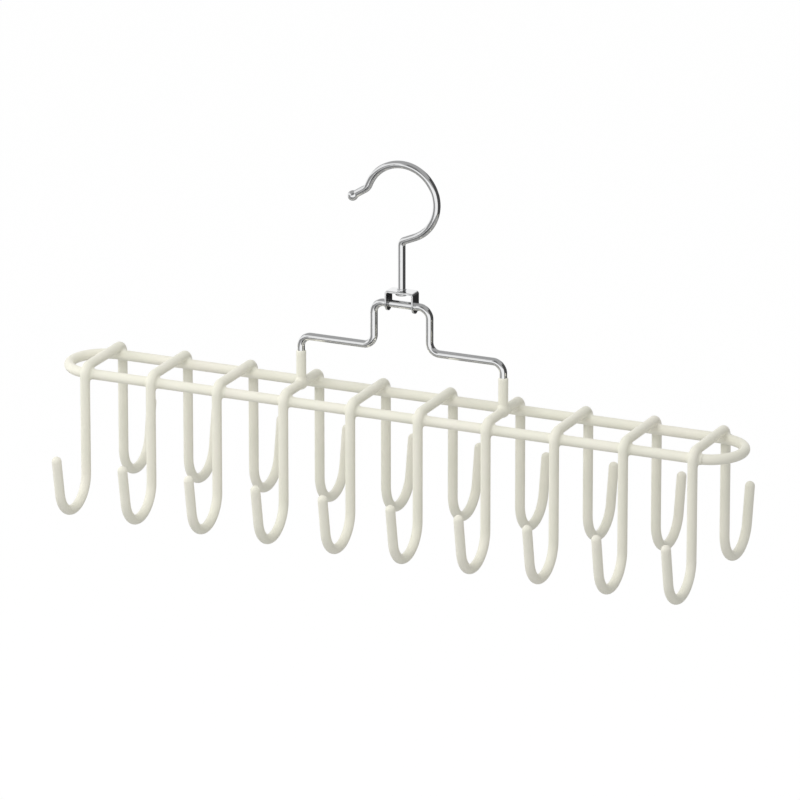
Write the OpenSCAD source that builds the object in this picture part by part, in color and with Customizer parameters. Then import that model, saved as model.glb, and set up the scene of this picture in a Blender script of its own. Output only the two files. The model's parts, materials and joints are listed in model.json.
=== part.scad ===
// Scarf hanger. A chrome hook turns in a small bracket, a chrome hat-shaped wire tilts
// in the ears of that bracket, and its legs carry a plastic-coated wire rack: one long
// ring with cross wires laid over it, each ending in a hook at the front and the rear.
// Millimetres, +Z up, X along the rack, front hooks on the -Y side. The origin is the
// point inside the top of the hook that rests on a closet rod.

/* [Wire] */
// Diameter of the steel wire, the same everywhere
wire_d = 4.3; // [4:0.1:4.8]
// Thickness of the plastic coating on the cross wires and the legs
coat_t = 0.55; // [0.35:0.05:0.7]
// Thickness of the plastic coating on the ring
ring_coat_t = 0.7; // [0.5:0.05:0.9]
// How deep two wires sink into each other where they are welded
weld_sink = 0.1; // [0.05:0.05:0.3]

/* [Rack] */
// Number of cross wires, each with two hooks
cross_count = 10; // [4:2:12]
// Distance from one cross wire to the next
pitch = 40; // [34:1:48]
// Distance between the two straight rails of the ring, between wire centres
rail_gap = 38; // [30:1:46]
// Height of a hook from the bottom of its wire to the top of its cross wire
hook_drop = 81.5; // [64:0.5:100]
// Clear width inside a hook, coating included
hook_w = 27; // [22:0.5:34]
// How far the free leg of a hook leans outward
hook_lean_angle = 10; // [4:0.5:20]
// Length of the straight free leg of a hook, up to the middle of its round tip
free_leg = 20; // [12:0.5:30]

/* [Hat wire] */
// Distance between its two legs, in pitches of the rack
leg_pitches = 3; // [3:2:5]
// Distance between the two risers beside the bracket
riser_gap = 33; // [30:0.5:38]
// Height of the risers, from the arms to the crossbar
riser_h = 25; // [20:0.5:32]
// Height of the arms over the cross wires
arm_h = 28; // [22:0.5:36]
// Height over the cross wires where the plastic coating of the legs ends
leg_coat_h = 19; // [10:0.5:20]
// Radius of its bends, to the middle of the wire
hat_bend = 6; // [5:0.25:7]

/* [Hook] */
// Clear width inside the rod hook
rod_hook_w = 37; // [32:0.5:42]
// Distance from the rod down to the crossbar
crossbar_drop = 76.5; // [72:0.5:90]
// How steeply the wire rises from the stem to the round part
heel_rise_angle = 22.5; // [18:0.5:26]
// Radius of the sharp bend on top of the stem, to the middle of the wire
heel_bend = 3.5; // [2.8:0.1:4]
// How far round the hook goes past the rod's top before its tip turns out
lip_turn_angle = 67; // [55:1:75]
// How far the tip turns out again
lip_flare_angle = 35; // [20:1:45]
// Radius of that last bend, to the middle of the wire
lip_bend = 6; // [5:0.5:8]
// Length of the straight bit before that bend
lip_run = 1; // [0.5:0.5:3]
// Length of the straight tip, up to the middle of the ball
lip_len = 8.5; // [7:0.5:12]
// Diameter of the ball on the tip
ball_d = 5.9; // [5.4:0.1:6.5]

/* [Bracket] */
// Width of the bracket over both ears
bracket_w = 17; // [15:0.5:19]
// Depth of the bracket, front to rear
bracket_depth = 8; // [7.5:0.5:9]
// Thickness of its sheet metal
sheet_t = 1.2; // [1:0.1:1.4]
// Height of its top face over the middle of the crossbar
bracket_h = 8; // [7.6:0.1:9]
// Diameter of the riveted head on the lower end of the stem
head_d = 7; // [6:0.5:8]
// Thickness of that head
head_t = 1.3; // [1:0.1:1.6]
// Diameter of the collar pressed into the stem over the bracket
collar_d = 5.2; // [5:0.1:6]
// Thickness of that collar
collar_t = 0.8; // [0.6:0.1:1.2]
// Gap all round a wire that turns in a hole of the bracket
turn_gap = 0.08; // [0.05:0.01:0.1]
// Gap over and under the top plate of the bracket
end_gap = 0.3; // [0.3:0.05:0.4]

/* [Hidden] */
$fn = 64;
// Hairline gap between a wire and the coating on it
skin_gap = 0.02;
// A little more than any solid that a cut goes through
past = 1;
// How much thinner the wire gets in a bend, and how far a straight run laps over it
bend_thinning = 0.02;
lap = 0.05;
rail_y = rail_gap / 2;
ring_half = (cross_count - 1) / 2 * pitch;
contact = wire_d - weld_sink;
leg_y = rail_y + contact;
hook_bend = (hook_w + wire_d + 2 * coat_t) / 2;
bend_bottom = hook_drop - (wire_d + 2 * coat_t);
long_leg = bend_bottom - contact - hook_bend;
cross_z = -crossbar_drop - riser_h - arm_h;
rail_z = cross_z - contact;
hat_leg_x = leg_pitches * pitch / 2;
hat_leg_len = arm_h - hat_bend - contact / 2;
rod_hook_r = (rod_hook_w + wire_d) / 2;
hook_mid_z = -rod_hook_w / 2;
heel_z = hook_mid_z - rod_hook_r / cos(heel_rise_angle);
heel_tangent = heel_bend * tan((90 - heel_rise_angle) / 2);
plate_top_z = -crossbar_drop + bracket_h;
head_top_z = plate_top_z - sheet_t - end_gap;
stem_bottom_z = head_top_z - head_t / 2;
stem_len = heel_z - heel_tangent - stem_bottom_z;
heel_run = rod_hook_r * tan(heel_rise_angle) - heel_tangent;
hook_turn = 180 - heel_rise_angle + lip_turn_angle;

// A path is a list of steps. Each step is a straight run, then a bend with its radius
// and its angle. A path starts along +Z and a positive angle bends towards +X.
hook_path = [
    [stem_len, heel_bend, 90 - heel_rise_angle],
    [heel_run, rod_hook_r, -hook_turn],
    [lip_run, lip_bend, lip_flare_angle],
    [lip_len, 0, 0]
];
// Half of the hat wire, from the middle of the crossbar to the end of a leg
hat_path = [
    [riser_gap / 2 - hat_bend, hat_bend, 90],
    [riser_h - 2 * hat_bend, hat_bend, -90],
    [hat_leg_x - riser_gap / 2 - 2 * hat_bend, hat_bend, 90],
    [hat_leg_len, 0, 0]
];
// Half of a cross wire, from its middle over a rail to the tip of a hook
cross_path = [
    [rail_y, contact, 90],
    [long_leg, hook_bend, hook_lean_angle - 180],
    [free_leg, 0, 0]
];

cross_ids = [for (i = [1 : cross_count]) i];
function two_digits(i) = i < 10 ? str("0", i) : str(i);
function cross_x(i) = (i - (cross_count + 1) / 2) * pitch;

// One bend of wire, from the origin along +Z towards +X
module bend(radius, angle, d) {
    side = angle > 0 ? 1 : -1;
    translate([side * radius, 0, 0])
        rotate([90, 0, 0])
            rotate_extrude(angle = -angle, start = side > 0 ? 180 : 0)
                translate([radius, 0])
                    circle(d = d);
}

// What follows a bend stands at its far end
module after_bend(radius, angle) {
    side = angle > 0 ? 1 : -1;
    translate([side * radius, 0, 0])
        rotate([0, angle, 0])
            translate([-side * radius, 0, 0])
                children();
}

// A wire along a path, with its children at the far end. Each straight run laps a
// little way over the bends beside it, which are a hair thinner.
module wire(path, d, i = 0) {
    run = path[i][0];
    radius = path[i][1];
    angle = path[i][2];
    lap_before = i > 0 ? lap : 0;
    lap_after = radius > 0 ? lap : 0;
    translate([0, 0, -lap_before])
        cylinder(h = lap_before + run + lap_after, d = d);
    translate([0, 0, run]) {
        if (radius > 0)
            bend(radius, angle, d - bend_thinning);
        after_bend(radius, angle) {
            if (i + 1 < len(path))
                wire(path, d, i + 1) children();
            else
                children();
        }
    }
}

module rod_hook() {
    color("gainsboro") {
        translate([0, 0, stem_bottom_z])
            wire(hook_path, wire_d) sphere(d = ball_d);
        translate([0, 0, head_top_z - head_t])
            cylinder(h = head_t, d = head_d);
        translate([0, 0, plate_top_z + end_gap])
            cylinder(h = collar_t, d = collar_d);
    }
}

// The bracket's side view: an ear with a round end about the crossbar
module ear() {
    rotate([0, 90, 0])
        linear_extrude(height = sheet_t) {
            circle(d = bracket_depth);
            translate([-bracket_h, -bracket_depth / 2])
                square([bracket_h, bracket_depth]);
        }
}

module swivel_bracket() {
    hole_d = wire_d + 2 * turn_gap;
    color("silver")
        translate([0, 0, -crossbar_drop])
            difference() {
                union() {
                    translate([-bracket_w / 2, 0, 0])
                        ear();
                    translate([bracket_w / 2 - sheet_t, 0, 0])
                        ear();
                    translate([-bracket_w / 2, -bracket_depth / 2, bracket_h - sheet_t])
                        cube([bracket_w, bracket_depth, sheet_t]);
                }
                translate([-bracket_w / 2 - past, 0, 0])
                    rotate([0, 90, 0])
                        cylinder(h = bracket_w + 2 * past, d = hole_d);
                translate([0, 0, bracket_h - sheet_t - past])
                    cylinder(h = sheet_t + 2 * past, d = hole_d);
            }
}

// Half of the hat wire, on the right with side 1 and on the left with side -1
module hat_half(side, d) {
    translate([0, 0, -crossbar_drop])
        rotate([0, 90, side > 0 ? 0 : 180])
            wire(hat_path, d);
}

module hat_wire() {
    color("gainsboro") {
        hat_half(1, wire_d);
        hat_half(-1, wire_d);
    }
}

module leg_coating(side) {
    color("ivory")
        translate([side * hat_leg_x, 0, cross_z])
            difference() {
                cylinder(h = leg_coat_h, d = wire_d + 2 * coat_t);
                translate([0, 0, -past])
                    cylinder(h = leg_coat_h + 2 * past, d = wire_d + 2 * skin_gap);
                rotate([90, 0, 0])
                    cylinder(h = 3 * wire_d, d = wire_d + 2 * coat_t + 2 * skin_gap, center = true);
            }
}

module leg_coating_left() {
    leg_coating(-1);
}

module leg_coating_right() {
    leg_coating(1);
}

// The long ring, two straight rails with a half circle at each end
module ring(d) {
    translate([0, 0, rail_z])
        for (end = [0, 180])
            rotate([0, 0, end]) {
                translate([ring_half, 0, 0])
                    rotate_extrude(angle = 180, start = -90)
                        translate([rail_y, 0])
                            circle(d = d);
                translate([-ring_half, -rail_y, 0])
                    rotate([0, 90, 0])
                        cylinder(h = 2 * ring_half, d = d);
            }
}

// One cross wire with its two hooks, cut square or with round tips
module cross(i, d, tip_d = 0) {
    translate([cross_x(i), 0, cross_z])
        for (side = [-1, 1])
            rotate([0, 90, side * 90])
                wire(cross_path, d)
                    if (tip_d > 0)
                        sphere(d = tip_d);
}

// The stretch of a cross wire that rides over a rail, with room for the skin gap
module over_rail(i, d) {
    translate([cross_x(i), 0, cross_z])
        for (side = [-1, 1])
            rotate([0, 90, side * 90])
                wire([[rail_y, contact, 90], [wire_d * 2, 0, 0]], d);
}

module ring_wire() {
    color("gray") ring(wire_d);
}

module ring_coating() {
    color("ivory")
        difference() {
            ring(wire_d + 2 * ring_coat_t);
            ring(wire_d + 2 * skin_gap);
            for (i = cross_ids)
                over_rail(i, wire_d + 2 * coat_t + 2 * skin_gap);
        }
}

module cross_wire(i) {
    color("gray") cross(i, wire_d);
}

module cross_coating(i) {
    color("ivory")
        difference() {
            cross(i, wire_d + 2 * coat_t, wire_d + 2 * coat_t - bend_thinning);
            cross(i, wire_d + 2 * skin_gap);
            for (side = [-1, 1]) {
                translate([cross_x(i) - wire_d, side * rail_y, rail_z])
                    rotate([0, 90, 0])
                        cylinder(h = 2 * wire_d, d = wire_d + 2 * skin_gap);
                if (cross_x(i) == side * hat_leg_x)
                    translate([cross_x(i), 0, cross_z])
                        cylinder(h = wire_d, d = wire_d + 2 * skin_gap);
            }
        }
}

rod_hook();
swivel_bracket();
hat_wire();
leg_coating_left();
leg_coating_right();
ring_wire();
ring_coating();
for (i = cross_ids) {
    cross_wire(i);
    cross_coating(i);
}
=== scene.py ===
import json
import math

import bpy
import numpy as np
from mathutils import Matrix, Vector


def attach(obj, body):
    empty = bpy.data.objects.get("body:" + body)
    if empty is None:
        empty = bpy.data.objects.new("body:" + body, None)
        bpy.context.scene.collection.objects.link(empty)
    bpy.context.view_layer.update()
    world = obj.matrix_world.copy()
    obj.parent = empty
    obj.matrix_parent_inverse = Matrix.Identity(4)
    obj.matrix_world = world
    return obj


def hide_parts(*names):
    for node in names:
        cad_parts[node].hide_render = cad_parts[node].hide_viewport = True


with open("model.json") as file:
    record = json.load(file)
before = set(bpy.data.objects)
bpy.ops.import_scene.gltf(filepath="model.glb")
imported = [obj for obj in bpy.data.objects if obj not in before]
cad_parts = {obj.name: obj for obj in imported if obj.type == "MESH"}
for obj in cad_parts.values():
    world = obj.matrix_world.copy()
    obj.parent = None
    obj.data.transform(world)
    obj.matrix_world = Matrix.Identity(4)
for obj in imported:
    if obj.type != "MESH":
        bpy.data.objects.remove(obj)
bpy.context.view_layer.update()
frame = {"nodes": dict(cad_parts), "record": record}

MM = 0.001
CROSS_X = [(i - 4.5) * 0.040 for i in range(10)]
LEG_X = 0.060                # the hat wire's legs stand on the fourth and the seventh cross wire
CROSS_Z = -0.1295            # middle of the cross wires
CONTACT = 0.0042             # distance between the middles of two welded wires
RISE = 0.0005                # how much higher the coated cross wires run than their steel
SHOULDER = 0.0049            # their bend over a rail
RAIL_Z = CROSS_Z - CONTACT
RAIL_Y = 0.019
RING_HALF = 0.180
HOOK_BEND = 0.0162
LONG_LEG = 0.0557
FREE_LEG = 0.020
HOOK_LEAN = 10
WIRE_R = 0.00215
COAT_R = 0.0027
RING_R = 0.00285
BLEND = 0.0024               # how widely the coating flows together where two wires meet
ARM_Z = -0.1015
BAR_Z = -0.0765
RISER_X = 0.0165
HAT_BEND = 0.006
COAT_TOP = CROSS_Z + 0.0196  # where the plastic on the legs ends
HOOK_R = 0.02065
HOOK_MID_Z = -0.0185
HEAD_LOW = -0.0713
HEAD_TOP = -0.0700
COLLAR_LOW = -0.0682
COLLAR_TOP = -0.0674
BALL_R = 0.00295
FLOOR_Z = -0.60
CAMERA_TURN = math.radians(24.466)
CAMERA_HEIGHT = math.radians(17.856)
CAMERA_DISTANCE = 4.4016
FOCAL_PIXELS = 8132          # focal length in pixels of the 800-pixel frame


# Camera, at the photograph's viewing angle

def aim_camera():
    turn, height = CAMERA_TURN, CAMERA_HEIGHT
    right = Vector((math.cos(turn), math.sin(turn), 0))
    back = Vector((math.sin(turn) * math.cos(height), -math.cos(turn) * math.cos(height),
                   math.sin(height)))
    up = back.cross(right)
    aim = -0.9183 * MM * right - 0.9866 * MM * up + Vector((0, 0, CROSS_Z))
    data = bpy.data.cameras.new("camera")
    data.sensor_width = 36
    data.lens = FOCAL_PIXELS / 800 * data.sensor_width
    data.clip_start, data.clip_end = 0.1, 100
    camera = bpy.data.objects.new("camera", data)
    camera.matrix_world = Matrix((right, up, back)).transposed().to_4x4()
    camera.location = aim + back * CAMERA_DISTANCE
    bpy.context.scene.collection.objects.link(camera)
    bpy.context.scene.camera = camera


aim_camera()


# Wires: a tube along a path in one plane

class Path:
    """Straight runs, each followed by a bend with its radius and angle. It starts along v
    unless a heading is given, and a positive angle bends towards u."""

    def __init__(self, origin, u, v, steps, heading=0):
        self.origin, self.u, self.v = (np.array(a, float) for a in (origin, u, v))
        self.parts = []
        s, at, heading = 0.0, np.zeros(2), math.radians(heading)
        for run, radius, angle in steps:
            if run > 0:
                self.parts.append((s, s + run, at, heading, 0.0, 1))
                s += run
                at = at + run * np.array([math.sin(heading), math.cos(heading)])
            if radius > 0:
                side, turn = (1 if angle > 0 else -1), math.radians(abs(angle))
                self.parts.append((s, s + radius * turn, at, heading, radius, side))
                centre = at + side * radius * np.array([math.cos(heading), -math.sin(heading)])
                heading += side * turn
                at = centre - side * radius * np.array([math.cos(heading), -math.sin(heading)])
                s += radius * turn
        self.length = s

    def at(self, s):
        """The point, the normal in the path's plane and the tangent at length s."""
        part = next((p for p in self.parts if s <= p[1] + 1e-9), self.parts[-1])
        start, _, at, heading, radius, side = part
        if radius > 0:
            centre = at + side * radius * np.array([math.cos(heading), -math.sin(heading)])
            heading += side * (s - start) / radius
            at = centre - side * radius * np.array([math.cos(heading), -math.sin(heading)])
        else:
            at = at + (s - start) * np.array([math.sin(heading), math.cos(heading)])
        point = self.origin + at[0] * self.u + at[1] * self.v
        normal = self.u * math.cos(heading) - self.v * math.sin(heading)
        tangent = self.u * math.sin(heading) + self.v * math.cos(heading)
        return point, normal, tangent

    def stations(self, extra=(), run_step=0.006, bend_step=6):
        marks = {0.0, self.length, *extra}
        for start, end, _, _, radius, _ in self.parts:
            step = radius * math.radians(bend_step) if radius > 0 else run_step
            marks.update(np.linspace(start, end, max(2, math.ceil((end - start) / step) + 1)))
        kept = []
        for s in sorted(marks):
            if 0 <= s <= self.length and (not kept or s - kept[-1] > 2e-6):
                kept.append(s)
        return kept


def tube(path, radius, extra=(), sides=32, closed=False, **spacing):
    """Vertices and faces of a tube whose radius is a function of the length along its path."""
    verts, faces, rings = [], [], []
    across = np.cross(path.u, path.v)
    marks = path.stations(extra, **spacing)
    if closed:
        marks = marks[:-1]
    for s in marks:
        point, normal, _ = path.at(s)
        r = radius(s)
        if r < 1e-7:
            rings.append([len(verts)])
            verts.append(point)
            continue
        rings.append(list(range(len(verts), len(verts) + sides)))
        for k in range(sides):
            a = 2 * math.pi * k / sides
            verts.append(point + r * (math.cos(a) * normal + math.sin(a) * across))
    pairs = list(zip(rings, rings[1:])) + ([(rings[-1], rings[0])] if closed else [])
    for low, high in pairs:
        for k in range(sides):
            n = (k + 1) % sides
            if len(low) == 1:
                faces.append((low[0], high[k], high[n]))
            elif len(high) == 1:
                faces.append((low[n], low[k], high[0]))
            else:
                faces.append((low[n], low[k], high[k], high[n]))
    if not closed:
        if len(rings[0]) > 1:
            faces.append(tuple(rings[0]))
        if len(rings[-1]) > 1:
            faces.append(tuple(reversed(rings[-1])))
    return np.array(verts), faces


def round_end(s_mid, r):
    """Radius of a tube that ends in a half ball with its middle at s_mid, and its stations."""
    def radius(s):
        return r if s <= s_mid else math.sqrt(max(0.0, r * r - (s - s_mid) ** 2))
    marks = [s_mid + r * math.sin(math.radians(a)) for a in (0, 15, 30, 42, 54, 64, 73, 81)]
    return radius, marks


# Fillets: the surface where two coated wires flow together

def blend_union(a, b):
    h = np.maximum(BLEND - np.abs(a - b), 0) / BLEND
    return np.minimum(a, b) - h * h * BLEND / 4


def fillet(first, second, low, high, step=0.00035):
    """The part of the two fields' blended surface that stands off both of them, as a mesh of
    one point per grid cell, drawn onto the surface."""
    def blended(p):
        return blend_union(first(p), second(p))

    axes = [np.arange(lo, hi + step, step) for lo, hi in zip(low, high)]
    grid = np.stack(np.meshgrid(*axes, indexing="ij"), -1)
    value = blended(grid)
    inside = value < 0
    shape = np.array(value.shape) - 1
    total, count = np.zeros((*shape, 3)), np.zeros(shape)
    for axis in range(3):
        others = [a for a in range(3) if a != axis]
        for da in (0, 1):
            for db in (0, 1):
                start = [slice(0, n) for n in shape]
                start[others[0]] = slice(da, shape[others[0]] + da)
                start[others[1]] = slice(db, shape[others[1]] + db)
                end = list(start)
                end[axis] = slice(1, shape[axis] + 1)
                start, end = tuple(start), tuple(end)
                crossed = inside[start] != inside[end]
                gap = value[start] - value[end]
                share = np.where(crossed, value[start] / np.where(gap == 0, 1, gap), 0)
                point = grid[start] + share[..., None] * (grid[end] - grid[start])
                total += np.where(crossed[..., None], point, 0)
                count += crossed
    index = -np.ones(shape, int)
    used = count > 0
    index[used] = np.arange(used.sum())
    points = total[used] / count[used][:, None]

    def slope(p):
        h = 1e-5
        return np.stack([(blended(p + h * e) - blended(p - h * e)) / (2 * h) for e in np.eye(3)], -1)

    for _ in range(4):
        g = slope(points)
        points = points - (blended(points) / (g * g).sum(-1))[:, None] * g
    faces = []
    for axis in range(3):
        b, c = (axis + 1) % 3, (axis + 2) % 3
        here = [slice(None)] * 3
        there = list(here)
        here[axis], there[axis] = slice(0, -1), slice(1, None)
        changed = np.argwhere(inside[tuple(here)] != inside[tuple(there)])
        for cell in changed:
            if not (0 < cell[b] < shape[b] and 0 < cell[c] < shape[c]):
                continue
            corner = []
            for ob, oc in ((0, 0), (-1, 0), (-1, -1), (0, -1)):
                at = cell.copy()
                at[b] += ob
                at[c] += oc
                corner.append(int(index[tuple(at)]))
            faces.append(corner if inside[tuple(cell)] else corner[::-1])
    stand_off = np.minimum(first(points), second(points))
    faces = [f for f in faces if min(f) >= 0 and min(stand_off[f]) > 4e-6]
    kept = sorted({i for f in faces for i in f})
    place = {old: new for new, old in enumerate(kept)}
    normals = slope(points[kept])
    normals /= np.linalg.norm(normals, axis=1)[:, None]
    return points[kept], [tuple(place[i] for i in f) for f in faces], normals


def over_rail_field(p):
    """Distance to a cross wire that comes over the rail from -Y and bends down behind it."""
    x, y, z = p[..., 0], p[..., 1], p[..., 2]
    y_mid, z_mid = CONTACT - SHOULDER, CONTACT + RISE - SHOULDER
    top = np.hypot(np.maximum(y - y_mid, 0), z - (CONTACT + RISE))
    down = np.hypot(np.maximum(z - z_mid, 0), y - CONTACT)
    bend = np.where((y >= y_mid) & (z >= z_mid), np.abs(np.hypot(y - y_mid, z - z_mid) - SHOULDER), 1.0)
    return np.hypot(x, np.minimum(np.minimum(top, down), bend)) - COAT_R


def rail_field(p):
    return np.hypot(p[..., 1], p[..., 2]) - RING_R


def upright_field(p):
    """Distance to a leg that stands on the cross wire below it."""
    return np.where(p[..., 2] >= 0, np.hypot(p[..., 0], p[..., 1]), np.linalg.norm(p, axis=-1)) - COAT_R


def cross_field(p):
    return np.hypot(p[..., 0], p[..., 2]) - COAT_R


# Meshes and pieces

def joined(parts):
    """One mesh from several (vertices, faces, normals or None), each already in place."""
    verts, faces, smooth = [], [], []
    for v, f, n in parts:
        base = sum(len(a) for a in verts)
        verts.append(v)
        faces += [tuple(i + base for i in face) for face in f]
        smooth.append(n if n is not None else np.zeros((len(v), 3)))
    return np.concatenate(verts), faces, np.concatenate(smooth)


def mesh_piece(name, parts, body, slot, nodes, sharp=40, mesh=None, x=0.0):
    """A piece that rides a body and replaces CAD nodes, from its parts or from a shared mesh."""
    if mesh is None:
        verts, faces, normals = joined(parts)
        mesh = bpy.data.meshes.new(name)
        mesh.from_pydata(verts.tolist(), [], faces)
        mesh.polygons.foreach_set("use_smooth", [True] * len(mesh.polygons))
        mesh.update()
        mesh.set_sharp_from_angle(angle=math.radians(sharp))
        if np.abs(normals).sum() > 0:
            mesh.normals_split_custom_set_from_vertices(normals.tolist())
        mesh.materials.append(MATERIALS[slot])
    piece = bpy.data.objects.new(name, mesh)
    piece.location.x = x
    bpy.context.scene.collection.objects.link(piece)
    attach(piece, body)
    if nodes:
        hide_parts(*nodes)
    return piece


# Materials

def shader(name, color, roughness, metallic=0.0, **sockets):
    material = bpy.data.materials.new(name)
    material.use_nodes = True
    bsdf = material.node_tree.nodes["Principled BSDF"]
    bsdf.inputs["Base Color"].default_value = (*color, 1)
    bsdf.inputs["Roughness"].default_value = roughness
    bsdf.inputs["Metallic"].default_value = metallic
    for key, value in sockets.items():
        bsdf.inputs[key].default_value = value
    return material, material.node_tree, bsdf


def own_noise(tree, scale, detail=2.0, stretch=(1, 1, 1)):
    """Noise that stays on its piece and differs from one piece to the next."""
    nodes, link = tree.nodes, tree.links.new
    coord = nodes.new("ShaderNodeTexCoord")
    info = nodes.new("ShaderNodeObjectInfo")
    shift = nodes.new("ShaderNodeVectorMath")
    shift.operation = "ADD"
    mapping = nodes.new("ShaderNodeMapping")
    mapping.inputs["Scale"].default_value = stretch
    noise = nodes.new("ShaderNodeTexNoise")
    noise.inputs["Scale"].default_value = scale
    noise.inputs["Detail"].default_value = detail
    link(coord.outputs["Object"], shift.inputs[0])
    link(info.outputs["Random"], shift.inputs[1])
    link(shift.outputs[0], mapping.inputs["Vector"])
    link(mapping.outputs["Vector"], noise.inputs["Vector"])
    return noise.outputs["Fac"]


def ramp(tree, fac, *stops):
    node = tree.nodes.new("ShaderNodeValToRGB")
    elements = node.color_ramp.elements
    for i, (at, color) in enumerate(stops):
        element = elements[i] if i < 2 else elements.new(at)
        element.position = at
        element.color = (*color, 1)
    tree.links.new(fac, node.inputs["Fac"])
    return node.outputs["Color"]


def bump(tree, height, strength, distance, bsdf, before=None):
    node = tree.nodes.new("ShaderNodeBump")
    node.inputs["Strength"].default_value = strength
    node.inputs["Distance"].default_value = distance
    tree.links.new(height, node.inputs["Height"])
    if before is not None:
        tree.links.new(before, node.inputs["Normal"])
    tree.links.new(node.outputs["Normal"], bsdf.inputs["Normal"])
    return node.outputs["Normal"]


def cream_material():
    """Dip-coated plastic: a satin skin with slow waves, fine grain and cloudy colour."""
    material, tree, bsdf = shader("cream_coating", (0.82, 0.80, 0.70), 0.42, **{"IOR": 1.5})
    cloudy = own_noise(tree, 45, 3)
    tint = ramp(tree, cloudy, (0.30, (0.800, 0.790, 0.682)), (0.52, (0.822, 0.806, 0.700)),
                (0.72, (0.838, 0.812, 0.716)))
    tree.links.new(tint, bsdf.inputs["Base Color"])
    gloss = tree.nodes.new("ShaderNodeMapRange")
    gloss.inputs["To Min"].default_value = 0.36
    gloss.inputs["To Max"].default_value = 0.50
    tree.links.new(own_noise(tree, 160, 2), gloss.inputs["Value"])
    tree.links.new(gloss.outputs["Result"], bsdf.inputs["Roughness"])
    waves = bump(tree, own_noise(tree, 220, 1), 0.35, 0.0004, bsdf)
    bump(tree, own_noise(tree, 1900, 2), 0.05, 0.0001, bsdf, before=waves)
    return material


def chrome_material():
    """Bright plating on drawn wire, with the slightest waviness left under it."""
    material, tree, bsdf = shader("chrome", (0.88, 0.885, 0.89), 0.05, 1.0)
    gloss = tree.nodes.new("ShaderNodeMapRange")
    gloss.inputs["To Min"].default_value = 0.035
    gloss.inputs["To Max"].default_value = 0.09
    tree.links.new(own_noise(tree, 240, 3), gloss.inputs["Value"])
    tree.links.new(gloss.outputs["Result"], bsdf.inputs["Roughness"])
    bump(tree, own_noise(tree, 320, 1), 0.10, 0.0003, bsdf)
    return material


def steel_material():
    """Bare drawn wire with fine scratches along it."""
    material, tree, bsdf = shader("steel_wire", (0.45, 0.45, 0.46), 0.35, 1.0)
    fine = own_noise(tree, 900, 3, stretch=(0.08, 1, 1))
    tint = ramp(tree, fine, (0.3, (0.40, 0.40, 0.41)), (0.7, (0.50, 0.50, 0.51)))
    tree.links.new(tint, bsdf.inputs["Base Color"])
    bump(tree, fine, 0.15, 0.0001, bsdf)
    return material


MATERIALS = {"cream_coating": cream_material(), "chrome": chrome_material(),
             "steel_wire": steel_material()}
for node, obj in frame["nodes"].items():
    slot = next(s["material_slot"] for s in frame["record"]["subparts"] if s["node"] == node)
    obj.data.materials.clear()
    obj.data.materials.append(MATERIALS[slot])


# The coated rack

def coated_cross():
    """The coated cross wire from the tip of its front hook to the tip of its rear one, at x 0.
    The coating runs a hair thicker round the bottom of each hook."""
    turn = 180 - HOOK_LEAN
    upright = LONG_LEG + CONTACT + RISE - SHOULDER
    path = Path((0, 0, 0), (0, 1, 0), (0, 0, 1), [
        (FREE_LEG + COAT_R, HOOK_BEND, -turn), (upright, SHOULDER, 90),
        (2 * (RAIL_Y + CONTACT - SHOULDER), SHOULDER, 90), (upright, HOOK_BEND, -turn),
        (FREE_LEG + COAT_R, 0, 0)], heading=turn)
    path.origin = np.array([0, 0, CROSS_Z + RISE]) - path.at(path.length / 2)[0]
    tip, marks = round_end(path.length - COAT_R, COAT_R)
    bottom = path.length - FREE_LEG - COAT_R - HOOK_BEND * math.radians(90 - HOOK_LEAN)
    thicker, spread = 0.00006, 0.010

    def radius(s):
        s = max(s, path.length - s)
        if s >= path.length - COAT_R:
            return tip(s)
        return tip(s) + thicker * math.exp(-((s - bottom) / spread) ** 2)
    return (*tube(path, radius, marks + [path.length - m for m in marks]), None)


def placed(mesh, side, y, z):
    """A fillet moved to its crossing, mirrored front to rear with side -1."""
    verts, faces, normals = mesh
    flip = np.array([1, side, 1])
    faces = faces if side > 0 else [f[::-1] for f in faces]
    return verts * flip + np.array([0, y, z]), faces, normals * flip


# Each fillet is sought in a box about its crossing
rail_fillet = fillet(over_rail_field, rail_field, (-0.008, -0.009, -0.009), (0.008, 0.008, 0.008))
leg_fillet = fillet(upright_field, cross_field, (-0.006, -0.008, -0.005), (0.006, 0.008, 0.008))
cross_parts = [coated_cross(), placed(rail_fillet, 1, RAIL_Y, RAIL_Z),
               placed(rail_fillet, -1, -RAIL_Y, RAIL_Z)]
shared = {}
for i, x in enumerate(CROSS_X):
    under_leg = abs(abs(x) - LEG_X) < 1e-6
    parts = cross_parts + ([placed(leg_fillet, 1, 0, CROSS_Z + RISE)] if under_leg else [])
    piece = mesh_piece(f"coated_cross_wire_{i + 1:02d}", parts, "rack", "cream_coating",
                       [f"cross_coating_{i + 1:02d}"], mesh=shared.get(under_leg), x=x)
    shared[under_leg] = piece.data

ring_path = Path((-RING_HALF, -RAIL_Y, RAIL_Z), (0, 1, 0), (1, 0, 0), [
    (2 * RING_HALF, RAIL_Y, 180), (2 * RING_HALF, RAIL_Y, 180)])
mesh_piece("coated_ring", [(*tube(ring_path, lambda s: RING_R, closed=True), None)],
           "rack", "cream_coating", ["ring_coating"])


def coated_leg(side):
    """The plastic on the lower end of a leg, with a small bead and a round rim at its top."""
    height = COAT_TOP - CROSS_Z
    path = Path((side * LEG_X, 0, CROSS_Z), (1, 0, 0), (0, 0, 1), [(height, 0, 0)])
    marks = [height - down for down in (0.0016, 0.0009, 0.0004, 0.0001, 0)]
    radii = [COAT_R * share for share in (1, 1.015, 0.965, 0.87, 0.80)]

    def radius(s):
        return float(np.interp(s, [0] + marks, [COAT_R] + radii))
    return (*tube(path, radius, marks), None)


for name, side in (("left", -1), ("right", 1)):
    mesh_piece(f"coated_leg_{name}", [coated_leg(side)], "rack", "cream_coating",
               [f"leg_coating_{name}"])


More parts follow.
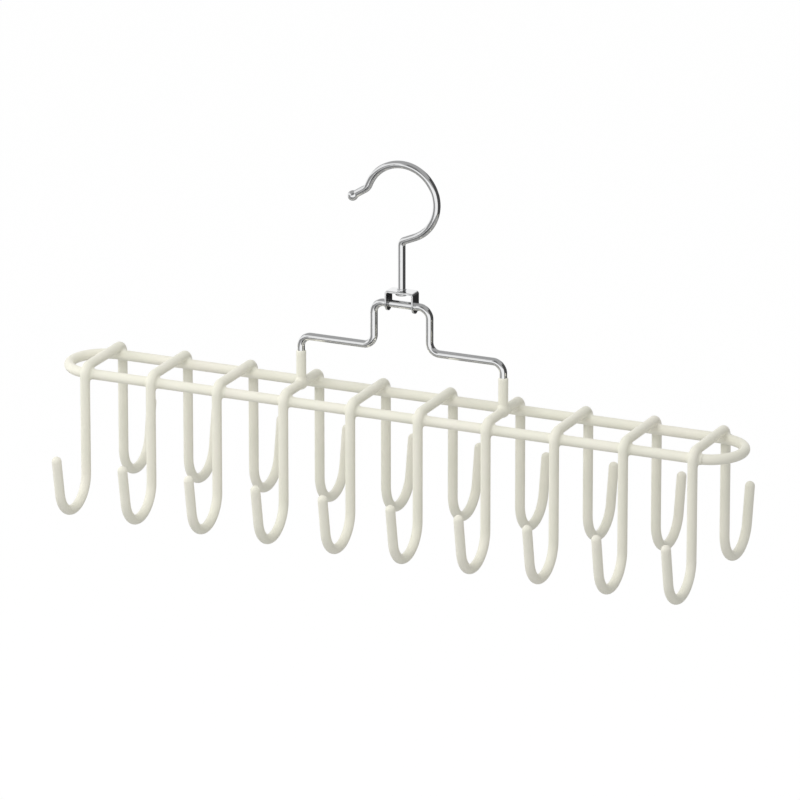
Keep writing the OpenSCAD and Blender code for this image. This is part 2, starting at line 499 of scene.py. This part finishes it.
# The chrome wires and the bracket

def hat_wire():
    """The bare part of the hat wire, from 2 mm inside the plastic on one leg to the other."""
    start = COAT_TOP - 0.002
    leg = ARM_Z - start - HAT_BEND
    arm = LEG_X - RISER_X - 2 * HAT_BEND
    riser = BAR_Z - ARM_Z - 2 * HAT_BEND
    path = Path((-LEG_X, 0, start), (1, 0, 0), (0, 0, 1), [
        (leg, HAT_BEND, 90), (arm, HAT_BEND, -90), (riser, HAT_BEND, 90),
        (2 * (RISER_X - HAT_BEND), HAT_BEND, 90),
        (riser, HAT_BEND, -90), (arm, HAT_BEND, 90), (leg, 0, 0)])
    return (*tube(path, lambda s: WIRE_R, sides=40, bend_step=4), None)


mesh_piece("chrome_hat_wire", [hat_wire()], "rack", "chrome", ["hat_wire"])


def rod_hook():
    """The stem with its riveted head and collar, the heel, the round hook and the balled tip."""
    rise, heel_bend = 22.5, 0.0035
    lip_run, lip_bend, lip_turn, lip_flare, lip_len = 0.001, 0.006, 67, 35, 0.0085
    facet = 0.00001              # how far apart two steps of the stem's profile stand
    heel_z = HOOK_MID_Z - HOOK_R / math.cos(math.radians(rise))
    tangent = heel_bend * math.tan(math.radians((90 - rise) / 2))
    path = Path((0, 0, HEAD_LOW), (1, 0, 0), (0, 0, 1), [
        (heel_z - tangent - HEAD_LOW, heel_bend, 90 - rise),
        (HOOK_R * math.tan(math.radians(rise)) - tangent, HOOK_R, -(180 - rise + lip_turn)),
        (lip_run, lip_bend, lip_flare),
        (lip_len + BALL_R, 0, 0)])
    ball = path.length - BALL_R
    neck = 0.0009                # how widely the wire runs into the ball
    head = [(0.0, 0.0), (0.00003, 0.0016), (0.00012, 0.0025), (0.00030, 0.0031),
            (0.00055, 0.0034), (0.00080, 0.0035), (0.00115, 0.0035), (0.00127, 0.00342),
            (HEAD_TOP - HEAD_LOW, 0.0033), (HEAD_TOP - HEAD_LOW + facet, WIRE_R)]
    low, high = COLLAR_LOW - HEAD_LOW, COLLAR_TOP - HEAD_LOW
    collar = [(low - facet, WIRE_R), (low, 0.0024), (low + 0.00012, 0.0026),
              (high - 0.00012, 0.0026), (high, 0.0024), (high + facet, WIRE_R)]
    profile = head + collar      # length along the stem and radius

    def radius(s):
        r = float(np.interp(s, [a for a, _ in profile], [b for _, b in profile]))
        if s > ball - 0.006:
            round_r = math.sqrt(max(0.0, BALL_R ** 2 - (s - ball) ** 2))
            wire = WIRE_R if s < ball else 0.0
            h = max(neck - abs(round_r - wire), 0) / neck if s < ball else 0
            r = max(round_r, wire) + h * h * neck / 4
        return r
    ball_marks = [ball + BALL_R * math.sin(math.radians(a)) for a in range(-70, 90, 7)]
    ball_marks += [ball - 0.0038, ball - 0.0033]
    return (*tube(path, radius, [a for a, _ in profile] + ball_marks, sides=40, bend_step=4), None)


mesh_piece("chrome_rod_hook", [rod_hook()], "hook", "chrome", ["rod_hook"], sharp=50)


# Each corner of the strip's section: its side along the normal, its side across, and which of
# the two the bevel takes off. The face from the first corner to the second looks into the U.
BRACKET_SECTION = [(1, -1, 0, 1), (1, 1, 0, 1), (1, 1, 1, 0), (-1, 1, 1, 0),
                   (-1, 1, 0, 1), (-1, -1, 0, 1), (-1, -1, 1, 0), (1, -1, 1, 0)]


def bracket():
    """A strip of sheet metal bent into an upside-down U, with ears that end round about the
    crossbar. Its section is a rectangle with bevelled edges."""
    half_w, half_d, thick, bend = 0.0085, 0.004, 0.0012, 0.0011
    top = BAR_Z + 0.008
    edge = 0.00022               # width of the bevels
    least = 0.00002              # the strip's least half depth, at the ends of the ears
    middle = half_w - thick / 2
    down = top - thick / 2 - bend - BAR_Z
    path = Path((-middle, 0, BAR_Z - half_d), (1, 0, 0), (0, 0, 1), [
        (half_d + down, bend, 90), (2 * (middle - bend), bend, 90), (half_d + down, 0, 0)])
    length = path.length
    round_marks = [half_d * (1 - math.cos(math.radians(a))) for a in range(0, 91, 9)]
    marks = path.stations(round_marks + [length - m for m in round_marks],
                          run_step=0.002, bend_step=15)
    marks[0], marks[-1] = 0.00003, length - 0.00003
    across = np.array([0.0, 1, 0])
    verts, faces = [], []
    for s in marks:
        point, normal, _ = path.at(s)
        near = min(s, length - s)
        depth = half_d if near >= half_d else math.sqrt(max(0.0, half_d ** 2 - (half_d - near) ** 2))
        for n, d, inset_n, inset_d in BRACKET_SECTION:
            verts.append(point + normal * n * (thick / 2 - edge * inset_n)
                         + across * d * max(depth - edge * inset_d, least))
    count = len(BRACKET_SECTION)
    for k in range(len(marks) - 1):
        here, there = k * count, (k + 1) * count
        for c in range(count):
            n = (c + 1) % count
            faces.append((here + c, here + n, there + n, there + c))
    faces.append(tuple(reversed(range(count))))
    faces.append(tuple(range((len(marks) - 1) * count, len(marks) * count)))
    return np.array(verts), faces, None


bent_strip = mesh_piece("chrome_bracket", [bracket()], "bracket", "chrome", ["swivel_bracket"], sharp=30)
# A darker chrome that paints shade and a dark reflection onto the inside of the U
bent_strip.data.materials.append(shader("chrome_painted_shade", (0.30, 0.30, 0.305), 0.22, 1.0)[0])
for polygon in bent_strip.data.polygons:     # painted shade: the faces inside the U take a darker chrome that stands in for the shade and dark reflection there
    polygon.material_index = 1 if polygon.index % len(BRACKET_SECTION) == 0 else 0


# Studio: soft lights from the front and the left, a pale floor, and what the chrome mirrors

def lamp(name, place, target, size, power):
    data = bpy.data.lights.new(name, "AREA")
    data.shape = "DISK"
    data.size = size
    data.energy = power
    light = bpy.data.objects.new(name, data)
    light.location = place
    light.rotation_euler = (Vector(target) - Vector(place)).to_track_quat("-Z", "Y").to_euler()
    light.visible_glossy = False
    bpy.context.scene.collection.objects.link(light)
    return light


CENTRE = (0, 0, -0.15)
lamp("front", (-0.1, -0.6, 0.6), CENTRE, 0.6, 3.65)
lamp("left", (-0.9, -0.25, 0.1), CENTRE, 0.6, 2.2)


def floor():
    mesh = bpy.data.meshes.new("floor")
    half = 30
    mesh.from_pydata([(-half, -half, 0), (half, -half, 0), (half, half, 0), (-half, half, 0)],
                     [], [(0, 1, 2, 3)])
    ground = bpy.data.objects.new("floor", mesh)
    ground.location.z = FLOOR_Z
    ground.visible_glossy = False
    material = bpy.data.materials.new("floor")
    material.use_nodes = True
    tree = material.node_tree
    tree.nodes.clear()
    out = tree.nodes.new("ShaderNodeOutputMaterial")
    mix = tree.nodes.new("ShaderNodeMixShader")
    ray = tree.nodes.new("ShaderNodeLightPath")
    share = tree.nodes.new("ShaderNodeMath")
    share.operation = "MULTIPLY"
    share.inputs[1].default_value = 0.93
    diffuse = tree.nodes.new("ShaderNodeBsdfDiffuse")
    diffuse.inputs["Color"].default_value = (0.8, 0.8, 0.8, 1)
    glow = tree.nodes.new("ShaderNodeEmission")
    glow.inputs["Strength"].default_value = 1.03
    tree.links.new(ray.outputs["Is Camera Ray"], share.inputs[0])
    tree.links.new(share.outputs[0], mix.inputs["Fac"])
    tree.links.new(diffuse.outputs[0], mix.inputs[1])
    tree.links.new(glow.outputs[0], mix.inputs[2])
    tree.links.new(mix.outputs[0], out.inputs["Surface"])
    mesh.materials.append(material)
    bpy.context.scene.collection.objects.link(ground)


floor()


def studio_world():
    world = bpy.data.worlds.new("studio")
    bpy.context.scene.world = world
    world.use_nodes = True
    tree = world.node_tree
    tree.nodes.clear()
    nodes, link = tree.nodes, tree.links.new

    def calc(op, *values):
        node = nodes.new("ShaderNodeMath")
        node.operation = op
        for socket, value in zip(node.inputs, values):
            if isinstance(value, (int, float)):
                socket.default_value = value
            else:
                link(value, socket)
        return node.outputs[0]

    def step(value, low, high, start=0.0, end=1.0):
        node = nodes.new("ShaderNodeMapRange")
        node.interpolation_type = "SMOOTHSTEP"
        for key, number in (("From Min", low), ("From Max", high), ("To Min", start), ("To Max", end)):
            node.inputs[key].default_value = number
        link(value, node.inputs["Value"])
        return node.outputs["Result"]

    def within(value, low, high, soft):
        above = step(value, low - soft, low + soft)
        below = step(value, high - soft, high + soft, 1.0, 0.0)
        return calc("MULTIPLY", above, below)

    coord = nodes.new("ShaderNodeTexCoord")
    split = nodes.new("ShaderNodeSeparateXYZ")
    link(coord.outputs["Generated"], split.inputs[0])
    x, y, z = split.outputs
    sin, cos = math.sin(CAMERA_TURN), math.cos(CAMERA_TURN)
    ahead = calc("ADD", calc("MULTIPLY", x, sin), calc("MULTIPLY", y, -cos))
    aside = calc("ADD", calc("MULTIPLY", x, cos), calc("MULTIPLY", y, sin))
    azimuth = calc("DEGREES", calc("ARCTAN2", aside, ahead))
    height = calc("DEGREES", calc("ARCSINE", z))
    level = 0.965
    for left, right, low, high, tone in (
            (-190, 190, 12, 95, 0.38),      # ceiling
            (-190, 190, -95, -29, 0.29),    # ground
            (-54, -10, -46, -29, 0.03),     # dark edge of the table
            (-42, -15, 10, 54, 0.20),       # gap beside the upper softbox
            (-106, -50, -29, 7, 0.29),      # grey wall on the left
            (-72, -38, -39, -18, 0.32),
            (29, 137, -34, 44, 0.07),       # black flag on the right
            (118, 146, -32, -4, 0.025),     # its folded end
            (150, 190, 5, 30, 0.97),        # bright wall behind
            (-190, -150, 5, 30, 0.97),
            (-123, -47, 7, 35, 0.88)):      # white card on the left
        mask = calc("MULTIPLY", within(azimuth, left, right, 2), within(height, low, high, 2))
        rest = calc("MULTIPLY", calc("SUBTRACT", 1.0, mask), level)
        level = calc("ADD", rest, calc("MULTIPLY", mask, tone))
    ray = nodes.new("ShaderNodeLightPath")
    out = nodes.new("ShaderNodeOutputWorld")
    ambient = nodes.new("ShaderNodeBackground")
    ambient.inputs["Strength"].default_value = 0.68
    mirrored = nodes.new("ShaderNodeBackground")
    link(level, mirrored.inputs["Strength"])
    white = nodes.new("ShaderNodeBackground")
    for node in (ambient, mirrored, white):
        node.inputs["Color"].default_value = (1, 1, 1, 1)
    first, second = nodes.new("ShaderNodeMixShader"), nodes.new("ShaderNodeMixShader")
    through = calc("MAXIMUM", ray.outputs["Is Glossy Ray"], ray.outputs["Is Transmission Ray"])
    link(through, first.inputs["Fac"])
    link(ambient.outputs[0], first.inputs[1])
    link(mirrored.outputs[0], first.inputs[2])
    link(ray.outputs["Is Camera Ray"], second.inputs["Fac"])
    link(first.outputs[0], second.inputs[1])
    link(white.outputs[0], second.inputs[2])
    link(second.outputs[0], out.inputs["Surface"])


studio_world()
bpy.context.scene.view_settings.view_transform = "Standard"
